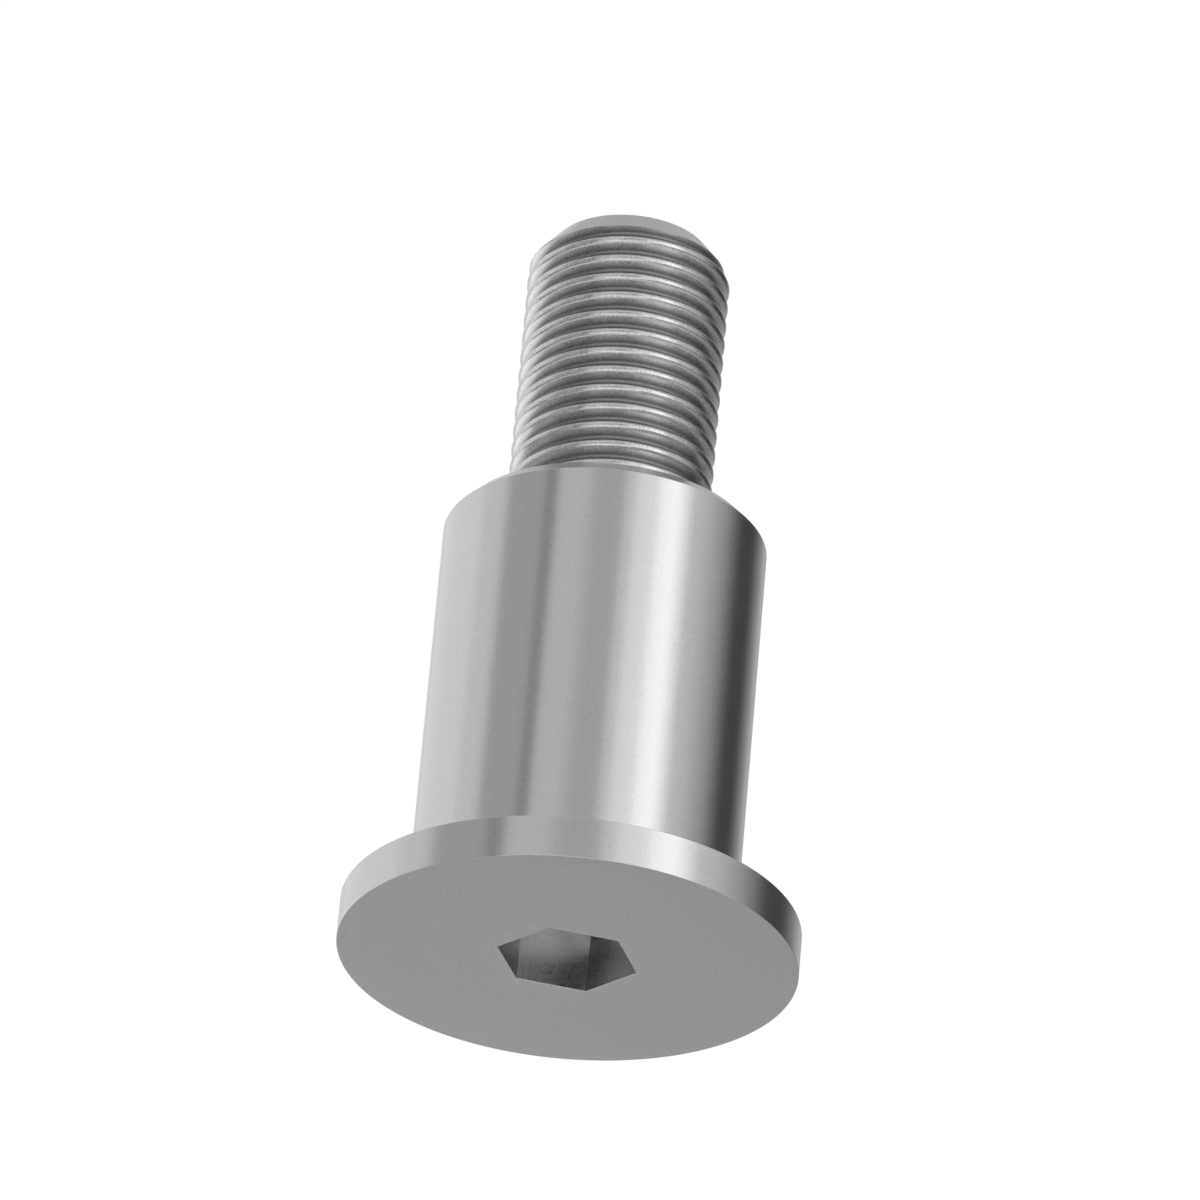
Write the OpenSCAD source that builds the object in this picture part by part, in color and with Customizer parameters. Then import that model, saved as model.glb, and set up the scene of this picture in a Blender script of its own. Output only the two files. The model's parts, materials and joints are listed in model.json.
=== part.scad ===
// Shoulder screw with a thin round head and a hex socket, turned from one bar.
// It stands on its head: the origin is the centre of the head's flat face, and
// +Z runs along the axis towards the tip of the thread. Millimetres.

/* [Head] */
// Diameter of the head
head_d = 26.6; // [22:0.1:40]
// Height of the head
head_h = 2.5; // [1:0.1:12]

/* [Socket] */
// Width of the hex socket across its flats, for a 7 mm key
socket_af = 7.15; // [4:0.05:12]
// Depth of the hex socket's walls from the head's flat face
socket_depth = 5; // [2:0.1:20]
// Angle of the drilled point at the bottom of the socket
drill_angle = 120; // [90:1:140]

/* [Shoulder] */
// Diameter of the shoulder
shoulder_d = 19; // [14:0.1:24]
// Length of the shoulder from the underside of the head to its end face
shoulder_l = 25.3; // [6:0.1:80]
// Chamfer round the shoulder's end
shoulder_chamfer = 0.8; // [0.2:0.1:3]
// Radius of the corner between the head and the shoulder
neck_radius = 0.4; // [0.1:0.1:1.2]

/* [Thread] */
// Outside diameter of the thread
thread_d = 12; // [8:0.1:16]
// Length of the threaded end from the shoulder's end face to the tip
thread_l = 19; // [4:0.1:60]
// Length of the taper at the tip
tip_l = 1.65; // [0.5:0.05:3]
// How far in the taper goes at the tip, from the thread's outside
tip_inset = 1.35; // [0.3:0.05:2.5]

/* [Hidden] */
$fn = 96;
// Room between the drill that opened the socket and each flat
drill_room = 0.1;
// How far a cut runs past a face
past = 1;
head_r = head_d / 2;
shoulder_r = shoulder_d / 2;
thread_r = thread_d / 2;
tip_r = thread_r - tip_inset;
drill_r = socket_af / 2 - drill_room;
// Radius of the socket out to its corners
socket_r = socket_af / 2 / cos(30);
shoulder_end = head_h + shoulder_l;
tip_end = shoulder_end + thread_l;

// Quarter-round fillet, with its square corner at the origin
module corner_fillet(r) {
    difference() {
        square(r);
        translate([r, r]) circle(r);
    }
}

// Half of the turned outline, from the head's flat face to the tip
module outline() {
    square([head_r, head_h]);
    translate([shoulder_r, head_h]) corner_fillet(neck_radius);
    polygon([
        [0, head_h],
        [shoulder_r, head_h],
        [shoulder_r, shoulder_end - shoulder_chamfer],
        [shoulder_r - shoulder_chamfer, shoulder_end],
        [thread_r, shoulder_end],
        [thread_r, tip_end - tip_l],
        [tip_r, tip_end],
        [0, tip_end],
    ]);
}

// Drilled hole that opens the socket, with its pointed bottom
module drill() {
    rotate_extrude() polygon([
        [0, -past],
        [drill_r, -past],
        [drill_r, socket_depth],
        [0, socket_depth + drill_r / tan(drill_angle / 2)],
    ]);
}

// Hex hole for the key, with a corner on +X
module socket() {
    translate([0, 0, -past]) cylinder(h = socket_depth + past, r = socket_r, $fn = 6);
    drill();
}

module screw() {
    color([0.62, 0.63, 0.64])
    difference() {
        rotate_extrude() outline();
        socket();
    }
}

screw();
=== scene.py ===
"""Low head shoulder screw, standing on its head: the turned screw with a helical thread, and its studio.

The screw is one closed skin, worked out round its axis in columns and rows. Lengths are metres, angles are
radians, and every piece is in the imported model's frame: +Z runs along the axis towards the tip of the
thread, and +X goes through a corner of the hex socket.
"""

import json
import math

import bpy
import numpy as np
from bpy.props import FloatProperty, FloatVectorProperty, IntProperty, PointerProperty
from mathutils import Matrix, Vector


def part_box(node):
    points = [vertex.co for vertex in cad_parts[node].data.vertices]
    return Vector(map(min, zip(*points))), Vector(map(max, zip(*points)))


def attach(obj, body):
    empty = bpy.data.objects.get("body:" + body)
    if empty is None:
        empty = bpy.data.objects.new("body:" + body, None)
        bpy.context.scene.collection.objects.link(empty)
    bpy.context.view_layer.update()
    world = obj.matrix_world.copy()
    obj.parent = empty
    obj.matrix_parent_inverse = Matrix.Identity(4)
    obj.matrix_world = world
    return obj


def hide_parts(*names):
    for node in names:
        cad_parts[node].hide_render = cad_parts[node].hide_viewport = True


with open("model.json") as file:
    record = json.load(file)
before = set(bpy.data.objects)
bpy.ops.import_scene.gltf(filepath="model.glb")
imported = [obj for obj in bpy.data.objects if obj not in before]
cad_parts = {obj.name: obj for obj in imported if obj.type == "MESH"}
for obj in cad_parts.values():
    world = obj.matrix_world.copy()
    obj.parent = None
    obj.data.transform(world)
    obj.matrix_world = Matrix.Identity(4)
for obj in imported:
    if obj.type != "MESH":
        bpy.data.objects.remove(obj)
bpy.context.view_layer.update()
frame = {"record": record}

bl_info = {
    "name": "Shoulder screw",
    "version": (1, 0, 0),
    "blender": (4, 5, 0),
    "location": "View3D > Sidebar > Screw",
    "description": "Makes a low head shoulder screw with a helical thread, and the studio that it stands in",
    "category": "Add Mesh",
}

MM = 0.001
TURN = 2 * math.pi
MOUNTS = {mount["name"]: mount for mount in frame["record"]["mounts"]}
LOWEST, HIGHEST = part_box("screw")

# Shapes: straight steps in an edge break and in the neck's corner, rows along a plain wall, and how far from
# its corner the spare point beside an arc stands, as a share of the arc's own reach
EDGE_STEPS, NECK_STEPS, ARC_STEPS, WALL_ROWS = 4, 8, 5, 9
SPARE_REACH = 1.3
# Where the spare rows stand on the thread's flank, from the crest's arc to the root's
FLANK_ROWS = (0.08, 0.92)
# Points nearer than WELD are one, and a groove shallower than CUT doesn't count as cut
WELD, CROSSING, CUT = 1e-5 * MM, 1e-6 * MM, 1e-4 * MM
# Faces that meet at more than this shade as a sharp edge
SHARP_ANGLE = math.radians(28)

# Finishes: which one a face has, how far the grain and the wide bands count in it, where a noise has its
# middle at a half, the size of the grain, and how many fine marks fit in one wide band
TURNED, FACED, THREADED, BROACHED = range(4)
GRAIN_SHARE, BAND_SHARE = 2.0, 0.4
GRAIN_SIZE = 0.14 * MM
MARKS_PER_BAND = 12

# Studio: the plain room's level, the soft border over a panel's upper and lower edge, the glow that makes the
# floor pale for the camera, its gap to the screw and its straight steps
ROOM_LEVEL = 0.3
PANEL_FADE = math.radians(8)
FLOOR_GLOW = 0.3
FLOOR_GAP = 0.02 * MM
FLOOR_STEPS = 128


# Properties

def length(name, description, millimetres):
    """A length that a user can change, given in millimetres."""
    return FloatProperty(name=name, description=description, default=millimetres * MM, min=0, precision=5,
                         subtype="DISTANCE", unit="LENGTH")


def angle(name, description, degrees):
    """An angle that a user can change, given in degrees."""
    return FloatProperty(name=name, description=description, default=math.radians(degrees),
                         subtype="ANGLE", unit="ROTATION")


def number(name, description, default):
    """A plain number that a user can change, from 0 up."""
    return FloatProperty(name=name, description=description, default=default, min=0, precision=3)


def grey(name, description, level):
    """A colour that a user can change, which starts as a neutral grey."""
    return FloatVectorProperty(name=name, description=description, default=(level,) * 3, size=3,
                               min=0, max=1, subtype="COLOR")


class ScrewSizes(bpy.types.PropertyGroup):
    """Sizes and finish of the screw."""

    head_diameter: length("Head diameter", "Diameter of the thin round head", 26.6)
    head_height: length("Head height", "Height of the head", MOUNTS["under_head"]["pos_m"][2] / MM)
    socket_width: length("Socket width", "Width of the hex socket across its flats", 7.15)
    socket_depth: length("Socket depth", "Depth of the hex socket's walls", 5)
    drill_room: length("Drill room", "Room between the socket's drilled hole and each flat", 0.1)
    drill_angle: angle("Drill angle", "Angle of the drilled point at the bottom of the socket", 120)
    shoulder_radius: length("Shoulder radius", "Radius of the shoulder", MOUNTS["shoulder"]["dims"]["r_mm"])
    shoulder_end: length("Shoulder end", "Height of the shoulder's end face",
                         MOUNTS["shoulder_face"]["pos_m"][2] / MM)
    shoulder_chamfer: length("Shoulder chamfer", "Chamfer round the shoulder's end", 0.8)
    neck_radius: length("Neck radius", "Radius of the corner between head and shoulder", 0.4)
    thread_radius: length("Thread radius", "Outside radius of the thread", MOUNTS["thread"]["dims"]["r_mm"])
    pitch: length("Pitch", "Distance from one crest of the thread to the next", 1.25)
    groove_start: length("Groove start", "Height of the groove's start over the shoulder's end face", 0.1)
    runout: number("Run-out", "Turns over which the groove reaches its full depth", 0.75)
    tip_length: length("Tip length", "Length of the taper at the tip", 1.65)
    tip_inset: length("Tip inset", "How far in the taper goes at the tip", 1.35)
    edge_break: length("Edge break", "Radius that the finishing left on sharp edges", 0.03)
    crest_radius: length("Crest radius", "Radius of the thread's rolled crest", 0.28)
    columns: IntProperty(name="Columns", description="Straight steps round the screw, in sixes", default=192,
                         min=24, step=6)
    steel: grey("Steel", "Colour of the bare steel", 0.63)
    roughness: number("Roughness", "Roughness of the turned steel", 0.17)


class StudioSettings(bpy.types.PropertyGroup):
    """The floor, the light and the camera."""

    floor: grey("Floor", "Colour of the floor", 0.9)
    floor_radius: length("Floor radius", "Radius of the floor", 400)
    aim_height: length("Aim height", "Height on the screw's axis that the camera looks at", 23.428)
    camera_azimuth: angle("Camera azimuth", "Bearing of the camera, from the -Y side towards +X", -12.773)
    camera_elevation: angle("Camera elevation", "Height of the camera over the horizon", -27.901)
    camera_distance: length("Camera distance", "Distance from the camera to its aim", 577.05)
    camera_roll: angle("Camera roll", "Turn of the camera about the line of sight", 5.195)
    lens: number("Lens", "Focal length of the camera in millimetres", 296.46)


# Shapes

def rounded(corners, radii, steps):
    """Points of a polyline whose corners are rounded.

    A corner P between the directions a and b to its neighbours gets an arc of radius R that touches both
    sides at R / tan(half the angle between a and b) from P, with its centre on the line that halves the
    angle. A spare point stands on each side just before the arc, so that the flat beyond it shades flat.
    """
    points = [corners[0]]
    for before, corner, after, radius in zip(corners, corners[1:], corners[2:], radii):
        if not radius:
            points.append(corner)
            continue
        here = np.array(corner, float)
        into, out = (np.subtract(other, here) / np.linalg.norm(np.subtract(other, here))
                     for other in (before, after))
        half = math.acos(float(np.clip(into @ out, -1, 1))) / 2
        reach = radius / math.tan(half)
        centre = here + (into + out) / np.linalg.norm(into + out) * radius / math.sin(half)
        start, end = here + into * reach - centre, here + out * reach - centre
        sweep = math.pi - 2 * half
        share = np.linspace(0, 1, steps + 1)[:, None]
        arc = (start * np.sin((1 - share) * sweep) + end * np.sin(share * sweep)) / math.sin(sweep)
        points += [here + into * reach * SPARE_REACH, *(centre + arc), here + out * reach * SPARE_REACH]
    return np.array([*points, corners[-1]], float)


def hexagon(bearings):
    """Radius at each bearing of a hexagon of apothem 1, a corner on +X: 1 / cos(bearing within its side)."""
    return 1 / np.cos(bearings % (TURN / 6) - TURN / 12)


def thread_section(sizes):
    """One pitch of the thread's groove as (height from its middle, depth), from crest to crest.

    The flanks stand 60 degrees to each other. A rolled crest joins them with one arc, and the root is
    rounded with a sixth of the thread's sharp height: deepest = sharp height - crest radius - root radius. A
    spare row stands on the flank beside each arc, so that the flank shades flat.
    """
    crest = sizes.crest_radius
    sharp = sizes.pitch / 2 / math.tan(math.radians(30))
    root = sharp / 6
    arc = np.linspace(0, TURN / 6, ARC_STEPS + 1)
    crest_arc = np.stack([crest * np.sin(arc) - sizes.pitch / 2, crest * (1 - np.cos(arc))], -1)
    root_arc = np.stack([-root * np.sin(arc), sharp - crest - root - root * (1 - np.cos(arc))], -1)[::-1]
    flank = crest_arc[-1] + (root_arc[0] - crest_arc[-1]) * np.array(FLANK_ROWS)[:, None]
    half = np.concatenate([crest_arc, flank, root_arc])
    section = np.concatenate([half, half[-2::-1] * [-1, 1]])
    return section[:, 0], section[:, 1]


class Skin:
    """Rows of points round the screw's axis, joined into one closed surface."""

    def __init__(self, columns):
        self.bearings = np.arange(columns) * TURN / columns
        self.points, self.faces, self.finishes = [], [], []
        self.count = 0

    def add(self, radii, heights, finish, lead=0, creases=None):
        """Joins rows of points at those radii and heights, from the axis of the socket outwards.

        Row i, column j is joined to the next row and the next column. The last column meets the first,
        lead rows up, which carries a helical grid round. Each cell is cut into two triangles along the
        diagonal that follows a crease, if it has one. The finish is one for all, or one for each point:
        then a triangle gets the highest of its corners'.
        """
        columns = len(self.bearings)
        radii, heights = np.broadcast_arrays(radii, heights)
        radii, heights = (np.broadcast_to(a, (len(a), columns)) for a in (radii, heights))
        rows = len(radii)
        self.points.append(np.stack(
            [radii * np.cos(self.bearings), radii * np.sin(self.bearings), heights], -1).reshape(-1, 3))
        row, column = np.mgrid[0:rows - 1, 0:columns]
        turned = (column + 1) // columns * lead
        inside = row + 1 + turned < rows
        row, column, turned = row[inside], column[inside], turned[inside]
        beside = (column + 1) % columns
        a, b = (row, column), (row + turned, beside)
        c, d = (row + 1 + turned, beside), (row + 1, column)
        other = np.zeros(len(row), bool)
        if creases is not None:
            other = creases[b] & creases[d] & ~(creases[a] & creases[c])
        a, b, c, d = (r * columns + k + self.count for r, k in (a, b, c, d))
        first = np.where(other, [a, b, d], [a, b, c])
        second = np.where(other, [b, c, d], [a, c, d])
        faces = np.concatenate([first.T, second.T])
        self.faces.append(faces)
        self.finishes.append(np.broadcast_to(finish, radii.shape).reshape(-1)[faces - self.count].max(axis=1))
        self.count += rows * columns

    def mesh(self, name):
        """The closed mesh, with points that lie together made one and empty triangles dropped."""
        points, faces = np.concatenate(self.points), np.concatenate(self.faces)
        finishes = np.concatenate(self.finishes)
        _, kept, same = np.unique(np.round(points / WELD).astype(np.int64), axis=0,
                                  return_index=True, return_inverse=True)
        points, faces = points[kept], same.reshape(-1)[faces]
        real = (faces != np.roll(faces, 1, axis=1)).all(axis=1)
        faces, finishes = faces[real], finishes[real]
        mesh = bpy.data.meshes.new(name)
        mesh.vertices.add(len(points))
        mesh.vertices.foreach_set("co", points.ravel())
        mesh.loops.add(faces.size)
        mesh.loops.foreach_set("vertex_index", faces.ravel())
        mesh.polygons.add(len(faces))
        mesh.polygons.foreach_set("loop_start", np.arange(0, faces.size, 3))
        mesh.polygons.foreach_set("material_index", finishes)
        mesh.update(calc_edges=True)
        mesh.validate()
        mesh.polygons.foreach_set("use_smooth", np.ones(len(mesh.polygons), bool))
        mesh.set_sharp_from_angle(angle=SHARP_ANGLE)
        return mesh


def add_socket(skin, sizes):
    """The hex socket, from its drilled point out to the head's flat face.

    Every row is a hexagon or a circle round the axis: radius = apothem * hexagon(bearing), or the radius.
    """
    apothem, depth = sizes.socket_width / 2, sizes.socket_depth
    drill = apothem - sizes.drill_room
    point = depth + drill / math.tan(sizes.drill_angle / 2)
    cone = np.linspace(0, 1, WALL_ROWS)[:, None]
    skin.add(cone * drill, point + (depth - point) * cone, BROACHED)
    ledge = np.stack([np.full(len(skin.bearings), drill), apothem * hexagon(skin.bearings)])
    skin.add(ledge, depth, BROACHED)
    beyond = apothem * 1.3
    mouth = rounded([(apothem, depth), (apothem, 0), (beyond, 0)], [sizes.edge_break], EDGE_STEPS)
    walls = np.linspace(depth, mouth[1, 1], WALL_ROWS)
    apothems = np.concatenate([np.full(len(walls), apothem), mouth[2:, 0]])
    heights = np.concatenate([walls, mouth[2:, 1]])
    skin.add(apothems[:, None] * hexagon(skin.bearings), heights[:, None], BROACHED)
    return apothems[-1]


def add_bar(skin, sizes, opening):
    """The turned head and shoulder, as a profile of radius and height carried round the axis.

    On the head's flat face the socket's hexagon goes over into a circle: radius = hexagon * (1 - share) +
    circle * share. The faced finish ends at the corner of each flat face.
    """
    head, top = sizes.head_diameter / 2, sizes.head_height
    shoulder, end = sizes.shoulder_radius, sizes.shoulder_end
    edge = sizes.edge_break
    near_hexagon = opening * hexagon(skin.bearings)
    blend = np.linspace(0, 1, 5)[:, None]
    circle = 0.5 * head
    skin.add(near_hexagon * (1 - blend) + circle * blend, 0, FACED)
    face = rounded([(circle, 0), (head, 0), (head, top / 2)], [edge], EDGE_STEPS)
    skin.add(face[:, :1], face[:, 1:], np.where(face[:, 1:] > edge / 2, TURNED, FACED))
    under = (head + shoulder) / 2
    rim = rounded([(head, top / 2), (head, top), (under, top)], [edge], EDGE_STEPS)
    skin.add(rim[:, :1], rim[:, 1:], TURNED)
    neck = rounded([(under, top), (shoulder, top), (shoulder, end / 2)], [sizes.neck_radius], NECK_STEPS)
    skin.add(neck[:, :1], neck[:, 1:], TURNED)
    chamfer = shoulder - sizes.shoulder_chamfer
    middle = (chamfer + sizes.thread_radius) / 2
    nose = [(shoulder, end / 2), (shoulder, end - sizes.shoulder_chamfer), (chamfer, end), (middle, end)]
    nose = rounded(nose, [edge, edge], EDGE_STEPS)
    skin.add(nose[:, :1], nose[:, 1:], np.where(nose[:, 1:] < end - edge / 8, TURNED, FACED))
    return middle


def add_thread(skin, sizes, ledge):
    """The threaded end, from the shoulder's end face to the middle of the tip.

    Its radius at each bearing and height is the lower of two: the bar's own outline, and the helical groove,
    whose middle is at height = start + pitch * (turns from +X). Over the run-out the groove rises out of
    the bar by lift = depth * (1 - ease(turns / run-out)). The rows of the grid climb with the groove, so
    that crests, flanks and root keep their form, and rows beyond an end lie on that end.
    """
    pitch, outside = sizes.pitch, sizes.thread_radius
    bottom, top = sizes.shoulder_end, HIGHEST[2]
    start = bottom + sizes.groove_start
    heights, depths = thread_section(sizes)
    deepest = depths.max()
    slope = sizes.tip_inset / sizes.tip_length
    tip = outside - sizes.tip_inset
    turns = skin.bearings / TURN

    end = [(outside, top - sizes.tip_length), (tip, top), (0, top)]
    end = rounded(end, [sizes.edge_break], EDGE_STEPS)
    ceiling = end[1, 1]

    def outline(z):
        return np.minimum(outside, tip + (top - z) * slope)

    def groove(z):
        along = (z - start) / pitch - turns
        nearest = np.round(along)
        lift = np.clip((nearest + turns) / sizes.runout, 0, 1)
        lift = deepest * (1 - lift * lift * (3 - 2 * lift))
        return outside - np.interp((along - nearest) * pitch, heights, depths) + lift

    lead = len(heights) - 1
    first = math.floor((bottom - start) / pitch) - 1
    last = math.ceil((top - start) / pitch) + 1
    laps = np.arange(first, last)[:, None]
    climb = (laps * pitch + heights[None, :-1]).ravel()
    z = np.clip(start + climb[:, None] + turns * pitch, bottom, ceiling)

    # Where the groove crosses the outline between two rows, the nearer row moves onto the crossing
    over = groove(z) - outline(z)
    crossing = over[:-1] * over[1:] < -CROSSING ** 2
    row, column = np.nonzero(crossing)
    share = over[row, column] / (over[row, column] - over[row + 1, column])
    height = z[row, column] + share * (z[row + 1, column] - z[row, column])
    nearer = row + (share > 0.5)
    z[nearer, column] = height
    creases = np.zeros(z.shape, bool)
    creases[nearer, column] = True

    radii = np.minimum(groove(z), outline(z))
    foot = np.minimum(groove(np.full((1, len(turns)), bottom)), outline(bottom))
    skin.add(np.concatenate([np.full((1, len(turns)), ledge), foot]), bottom, FACED)
    cut = groove(z) < outline(z) - CUT
    skin.add(radii, z, np.where(cut, THREADED, TURNED), lead=lead, creases=creases)
    skin.add(end[1:, :1], end[1:, 1:], FACED)


# Nodes

def add_node(tree, kind, links=None, **settings):
    """A node with its settings, and its inputs linked to a socket or set to a value."""
    node = tree.nodes.new(kind)
    for name, value in settings.items():
        setattr(node, name, value)
    for name, value in (links or {}).items():
        if isinstance(value, bpy.types.NodeSocket):
            tree.links.new(value, node.inputs[name])
        else:
            node.inputs[name].default_value = value
    return node


def calculate(tree, operation, *values):
    """The result of a Math node."""
    return add_node(tree, "ShaderNodeMath", dict(enumerate(values)), operation=operation).outputs[0]


def ease(tree, value, low, high, at_low=0.0, at_high=1.0):
    """A value that goes smoothly from at_low to at_high as the input goes from low to high."""
    links = {"Value": value, "From Min": low, "From Max": high, "To Min": at_low, "To Max": at_high}
    return add_node(tree, "ShaderNodeMapRange", links, interpolation_type="SMOOTHSTEP").outputs[0]


def new_group(name, inputs, outputs):
    """An empty shader group with float sockets, and its input and output nodes."""
    group = bpy.data.node_groups.new(name, "ShaderNodeTree")
    for socket, default in inputs.items():
        kind = "NodeSocketVector" if default is None else "NodeSocketFloat"
        made = group.interface.new_socket(socket, in_out="INPUT", socket_type=kind)
        if default is not None:
            made.default_value = default
    for socket in outputs:
        group.interface.new_socket(socket, in_out="OUTPUT", socket_type="NodeSocketFloat")
    return group, group.nodes.new("NodeGroupInput").outputs, group.nodes.new("NodeGroupOutput").inputs


def turning_marks():
    """Fine rings that a lathe or grinder leaves round the axis, wide bands of them, grain, and the radius.

    The rings follow one number along the profile, radius + height, and change slowly with the bearing:
    mark = noise(waver * cos(bearing), waver * sin(bearing), (radius + height) / spacing). The bands are the
    same rings at a wider spacing, and the grain is a plain noise in all directions.
    """
    group, given, out = new_group("Turning marks", {"Place": None, "Spacing": 0.1 * MM, "Waver": 1.0},
                                  ["Marks", "Bands", "Grain", "Radius"])
    place = add_node(group, "ShaderNodeSeparateXYZ", {0: given["Place"]}).outputs
    squares = [calculate(group, "MULTIPLY", place[k], place[k]) for k in (0, 1)]
    radius = calculate(group, "SQRT", calculate(group, "ADD", *squares))
    bearing = [calculate(group, "MULTIPLY", calculate(group, "DIVIDE", place[k], radius), given["Waver"])
               for k in (0, 1)]
    along = calculate(group, "ADD", radius, place[2])

    def marks(spacing, detail):
        turned = add_node(group, "ShaderNodeCombineXYZ", {
            0: bearing[0], 1: bearing[1], 2: calculate(group, "DIVIDE", along, spacing)}).outputs[0]
        return add_node(group, "ShaderNodeTexNoise", {"Vector": turned, "Scale": 1.0, "Detail": detail})

    group.links.new(marks(given["Spacing"], 2).outputs[0], out["Marks"])
    wide = calculate(group, "MULTIPLY", given["Spacing"], MARKS_PER_BAND)
    group.links.new(marks(wide, 3).outputs[0], out["Bands"])
    grain = add_node(group, "ShaderNodeTexNoise", {
        "Vector": given["Place"], "Scale": 1 / GRAIN_SIZE, "Detail": 3})
    group.links.new(grain.outputs[0], out["Grain"])
    group.links.new(radius, out["Radius"])
    return group


def add_finish(name, sizes, marks, spacing, waver, depth, rough, spread, tone, root_shade_and_rough=None):
    """A steel with that finish.

    Its fine marks lie spacing apart and stand depth high. Its level, the grain and bands round 0, moves the
    roughness by spread and the colour by tone. Where it is given a painted root shade, (inner radius,
    outer radius, colour, roughness), the steel goes from that colour and extra roughness at the inner radius
    to
    its own at the outer one: the darker colour towards the thread's root is painted shade, the roughness is
    real.
    """
    material = bpy.data.materials.new(name)
    material.use_nodes = True
    tree = material.node_tree
    shader = tree.nodes["Principled BSDF"]
    place = add_node(tree, "ShaderNodeTexCoord").outputs["Object"]
    marked = add_node(tree, "ShaderNodeGroup", node_tree=marks)
    tree.links.new(place, marked.inputs["Place"])
    marked.inputs["Spacing"].default_value = spacing
    marked.inputs["Waver"].default_value = waver
    middle = (GRAIN_SHARE + BAND_SHARE) / 2
    bands = calculate(tree, "MULTIPLY_ADD", marked.outputs["Bands"], BAND_SHARE, -middle)
    level = calculate(tree, "MULTIPLY_ADD", marked.outputs["Grain"], GRAIN_SHARE, bands)
    roughness = calculate(tree, "MULTIPLY_ADD", level, spread, rough)
    bright = calculate(tree, "MULTIPLY_ADD", level, tone, 1.0)
    if root_shade_and_rough:
        inner, outer, dark, rougher = root_shade_and_rough
        radius = marked.outputs["Radius"]
        # Painted shade: the colour darkens towards the thread's root
        bright = calculate(tree, "MULTIPLY", bright, ease(tree, radius, inner, outer, dark))
        roughness = calculate(tree, "ADD", roughness, ease(tree, radius, inner, outer, rougher, 0.0))
    tree.links.new(roughness, shader.inputs["Roughness"])
    colour = add_node(tree, "ShaderNodeVectorMath", {0: tuple(sizes.steel), "Scale": bright},
                      operation="SCALE")
    tree.links.new(colour.outputs[0], shader.inputs["Base Color"])
    bump = add_node(tree, "ShaderNodeBump", {
        "Height": marked.outputs["Marks"], "Distance": depth, "Strength": 1.0})
    tree.links.new(bump.outputs[0], shader.inputs["Normal"])
    shader.inputs["Metallic"].default_value = 1.0
    return material


class SCREW_OT_build(bpy.types.Operator):
    """Make the screw in place of the plain one"""

    bl_idname = "screw.build"
    bl_label = "Make the screw"

    def execute(self, context):
        sizes = context.scene.screw_sizes
        skin = Skin(sizes.columns)
        opening = add_socket(skin, sizes)
        ledge = add_bar(skin, sizes, opening)
        add_thread(skin, sizes, ledge)
        piece = bpy.data.objects.new("shoulder_screw", skin.mesh("shoulder_screw"))
        context.scene.collection.objects.link(piece)
        marks = turning_marks()
        rough = sizes.roughness
        # Painted shade in the thread's groove: the colour darkens and the steel grows rougher from near its
        # crest down to its root
        groove = (sizes.thread_radius - 0.75 * MM, sizes.thread_radius - 0.1 * MM, 0.35, 0.3)
        # In the order of TURNED, FACED, THREADED and BROACHED
        for finish in (
            add_finish("turned_steel", sizes, marks, spacing=0.06 * MM, waver=1.5, depth=0.0004 * MM,
                       rough=rough, spread=0.04, tone=0.1),
            add_finish("faced_steel", sizes, marks, spacing=0.09 * MM, waver=1.2, depth=0.0006 * MM,
                       rough=rough, spread=0.04, tone=0.2),
            add_finish("threaded_steel", sizes, marks, spacing=0.05 * MM, waver=6.0, depth=0.0004 * MM,
                       rough=rough, spread=0.2, tone=0.45, root_shade_and_rough=groove),
            add_finish("broached_steel", sizes, marks, spacing=0.08 * MM, waver=9.0, depth=0.0006 * MM,
                       rough=rough + 0.04, spread=0.1, tone=0.2),
        ):
            piece.data.materials.append(finish)
        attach(piece, "root")
        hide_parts("screw")
        return {"FINISHED"}


# Studio

PANELS = (
    # Name, then in degrees its azimuth from the -Y side towards +X, half width, softness, lowest and highest
    # elevation, and its strength over the plain room
    ("ceiling", 0, 180, 1, 44, 120, 0.25),
    ("ceiling lamp", -12, 40, 20, 42, 58, 0.35),
    ("front step", -12, 26, 12, -24, 4, 0.2),
    ("left wall", -156, 65, 6, -24, 44, 0.45),
    ("left window", -141, 29, 2, -24, 44, 0.12),
    ("front window", -20, 28, 18, -42, -24, 1.0),
    ("table", 0, 180, 1, -200, -46, 0.4),
    ("low left window", -158, 20, 8, -46, -20, 0.9),
    ("left fill", -76, 17, 1, -24, 44, 0.16),
    ("front wall", -24, 26, 2, -24, 44, 0.35),
    ("front flag", -11, 14, 8, -24, 44, -0.15),
    ("key", 22, 20, 7, -24, 44, 0.7),
    ("key core", 36, 13, 1, -24, 44, 0.25),
    ("key glow", 52, 20, 20, -24, 44, 0.4),
    ("right flag", 108, 17, 11, -24, 44, -0.23),
    ("back flag", 152, 13, 4, -24, 44, -0.25),
)


def studio_panel():
    """How much of a panel shows in a direction: 1 inside its edges, and down to 0 over its soft border."""
    group, given, out = new_group(
        "Studio panel", {"Azimuth": 0.0, "Elevation": 0.0, "Centre": 0.0, "Half width": 0.3, "Softness": 0.1,
                         "Lowest": -0.3, "Highest": 0.3}, ["Mask"])
    off = calculate(group, "SUBTRACT", given["Azimuth"], given["Centre"])
    off = calculate(group, "ABSOLUTE", calculate(group, "WRAP", off, math.pi, -math.pi))
    inner = calculate(group, "SUBTRACT", given["Half width"], given["Softness"])
    outer = calculate(group, "ADD", given["Half width"], given["Softness"])
    across = ease(group, off, inner, outer, 1.0, 0.0)
    lowest, highest = ([calculate(group, "ADD", given[edge], side) for side in (-PANEL_FADE, PANEL_FADE)]
                       for edge in ("Lowest", "Highest"))
    above = ease(group, given["Elevation"], *lowest)
    under = ease(group, given["Elevation"], *highest, 1.0, 0.0)
    upright = calculate(group, "MULTIPLY", above, under)
    group.links.new(calculate(group, "MULTIPLY", across, upright), out["Mask"])
    return group


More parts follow.
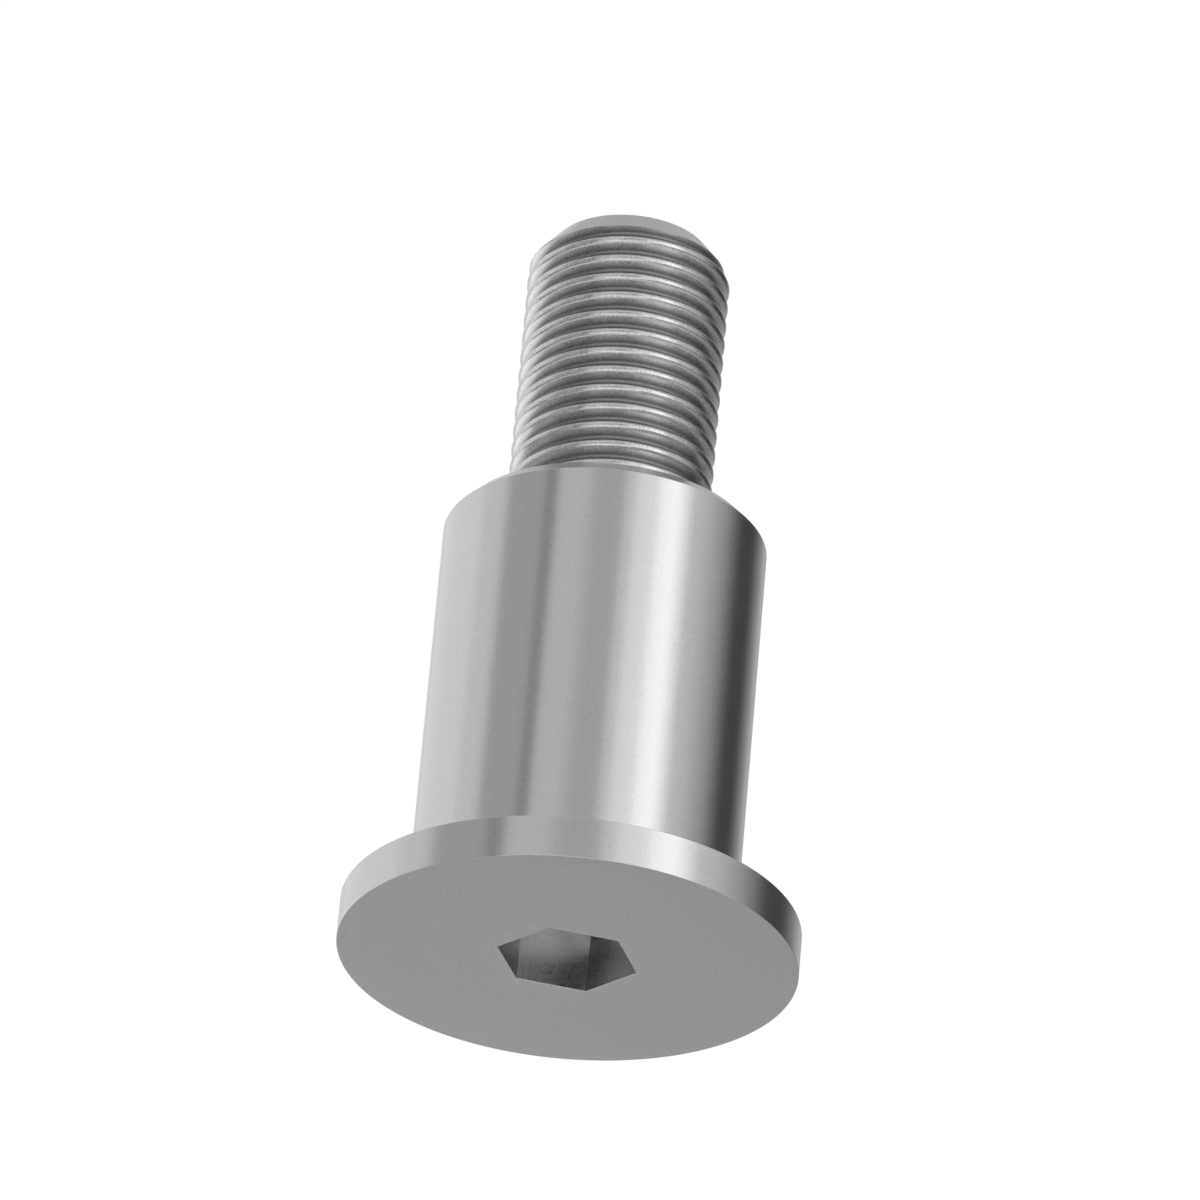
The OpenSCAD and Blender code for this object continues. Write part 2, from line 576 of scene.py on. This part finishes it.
def light_studio(world):
    """A plain grey room with soft panels on its walls. Only the camera sees white where nothing stands.

    The steel mirrors the room, because it would have no light and dark bands in a white one.
    """
    world.use_nodes = True
    tree = world.node_tree
    tree.nodes.clear()
    direction = add_node(tree, "ShaderNodeSeparateXYZ", {
        0: add_node(tree, "ShaderNodeTexCoord").outputs["Generated"]}).outputs
    azimuth = calculate(tree, "ARCTAN2", direction[0], calculate(tree, "MULTIPLY", direction[1], -1.0))
    elevation = calculate(tree, "ARCSINE", direction[2])
    level = ROOM_LEVEL
    panel = studio_panel()
    for name, centre, half_width, softness, lowest, highest, strength in PANELS:
        mask = add_node(tree, "ShaderNodeGroup", node_tree=panel, label=name)
        tree.links.new(azimuth, mask.inputs["Azimuth"])
        tree.links.new(elevation, mask.inputs["Elevation"])
        for socket, degrees in (("Centre", centre), ("Half width", half_width), ("Softness", softness),
                                ("Lowest", lowest), ("Highest", highest)):
            mask.inputs[socket].default_value = math.radians(degrees)
        level = calculate(tree, "MULTIPLY_ADD", mask.outputs[0], strength, level)
    seen = add_node(tree, "ShaderNodeLightPath").outputs["Is Camera Ray"]
    level = calculate(tree, "MULTIPLY_ADD", calculate(tree, "SUBTRACT", 1.0, level), seen, level)
    background = add_node(tree, "ShaderNodeBackground", {"Color": level, "Strength": 1.0})
    output = add_node(tree, "ShaderNodeOutputWorld")
    tree.links.new(background.outputs[0], output.inputs["Surface"])


def add_floor(studio):
    """A round pale floor that can be seen from above only."""
    bearings = np.arange(FLOOR_STEPS) * TURN / FLOOR_STEPS
    rim = studio.floor_radius * np.stack([np.cos(bearings), np.sin(bearings), 0 * bearings], -1)
    mesh = bpy.data.meshes.new("floor")
    mesh.from_pydata(rim + [0, 0, LOWEST[2] - FLOOR_GAP], [], [range(FLOOR_STEPS)])
    floor = bpy.data.objects.new("floor", mesh)
    bpy.context.scene.collection.objects.link(floor)
    floor.visible_glossy = False
    floor.visible_shadow = False
    material = bpy.data.materials.new("floor")
    material.use_nodes = True
    tree = material.node_tree
    tree.nodes.clear()
    diffuse = add_node(tree, "ShaderNodeBsdfDiffuse", {"Color": (*studio.floor, 1)})
    seen = add_node(tree, "ShaderNodeLightPath").outputs["Is Camera Ray"]
    glow = add_node(tree, "ShaderNodeEmission", {"Strength": calculate(tree, "MULTIPLY", seen, FLOOR_GLOW)})
    shine = add_node(tree, "ShaderNodeAddShader", {0: diffuse.outputs[0], 1: glow.outputs[0]})
    clear = add_node(tree, "ShaderNodeBsdfTransparent")
    below = add_node(tree, "ShaderNodeNewGeometry").outputs["Backfacing"]
    mix = add_node(tree, "ShaderNodeMixShader", {0: below, 1: shine.outputs[0], 2: clear.outputs[0]})
    add_node(tree, "ShaderNodeOutputMaterial", {"Surface": mix.outputs[0]})
    mesh.materials.append(material)


def add_camera(studio):
    """The camera at the photograph's angle: it looks at its aim on the axis and is turned about that line."""
    data = bpy.data.cameras.new("camera")
    camera = bpy.data.objects.new("camera", data)
    bpy.context.scene.collection.objects.link(camera)
    azimuth, elevation = studio.camera_azimuth, studio.camera_elevation
    back = Vector((math.sin(azimuth) * math.cos(elevation), -math.cos(azimuth) * math.cos(elevation),
                   math.sin(elevation)))
    turn = back.to_track_quat("Z", "Y").to_matrix().to_4x4() @ Matrix.Rotation(studio.camera_roll, 4, "Z")
    place = Vector((0, 0, studio.aim_height)) + back * studio.camera_distance
    camera.matrix_world = Matrix.Translation(place) @ turn
    data.sensor_width = 36
    data.lens = studio.lens
    data.clip_start, data.clip_end = 0.01, 10
    bpy.context.scene.camera = camera


class SCREW_OT_stage(bpy.types.Operator):
    """Make the floor, the light and the camera"""

    bl_idname = "screw.stage"
    bl_label = "Set the studio"

    def execute(self, context):
        studio = context.scene.screw_studio
        scene = context.scene
        scene.view_settings.view_transform = "Standard"
        scene.world = bpy.data.worlds.new("studio")
        light_studio(scene.world)
        add_floor(studio)
        add_camera(studio)
        return {"FINISHED"}


class SCREW_PT_panel(bpy.types.Panel):
    """Lists the screw's sizes and its operators"""

    bl_label = "Shoulder screw"
    bl_idname = "SCREW_PT_panel"
    bl_space_type = "VIEW_3D"
    bl_region_type = "UI"
    bl_category = "Screw"

    def draw(self, context):
        for group, operator in ((context.scene.screw_sizes, SCREW_OT_build),
                                (context.scene.screw_studio, SCREW_OT_stage)):
            box = self.layout.box()
            for name in group.__annotations__:
                box.prop(group, name)
            box.operator(operator.bl_idname)


CLASSES = (ScrewSizes, StudioSettings, SCREW_OT_build, SCREW_OT_stage, SCREW_PT_panel)


def register():
    for made in CLASSES:
        bpy.utils.register_class(made)
    bpy.types.Scene.screw_sizes = PointerProperty(type=ScrewSizes)
    bpy.types.Scene.screw_studio = PointerProperty(type=StudioSettings)


def unregister():
    del bpy.types.Scene.screw_studio
    del bpy.types.Scene.screw_sizes
    for made in reversed(CLASSES):
        bpy.utils.unregister_class(made)


def main():
    register()
    bpy.ops.screw.stage()
    bpy.ops.screw.build()


if __name__ == "__main__":
    main()
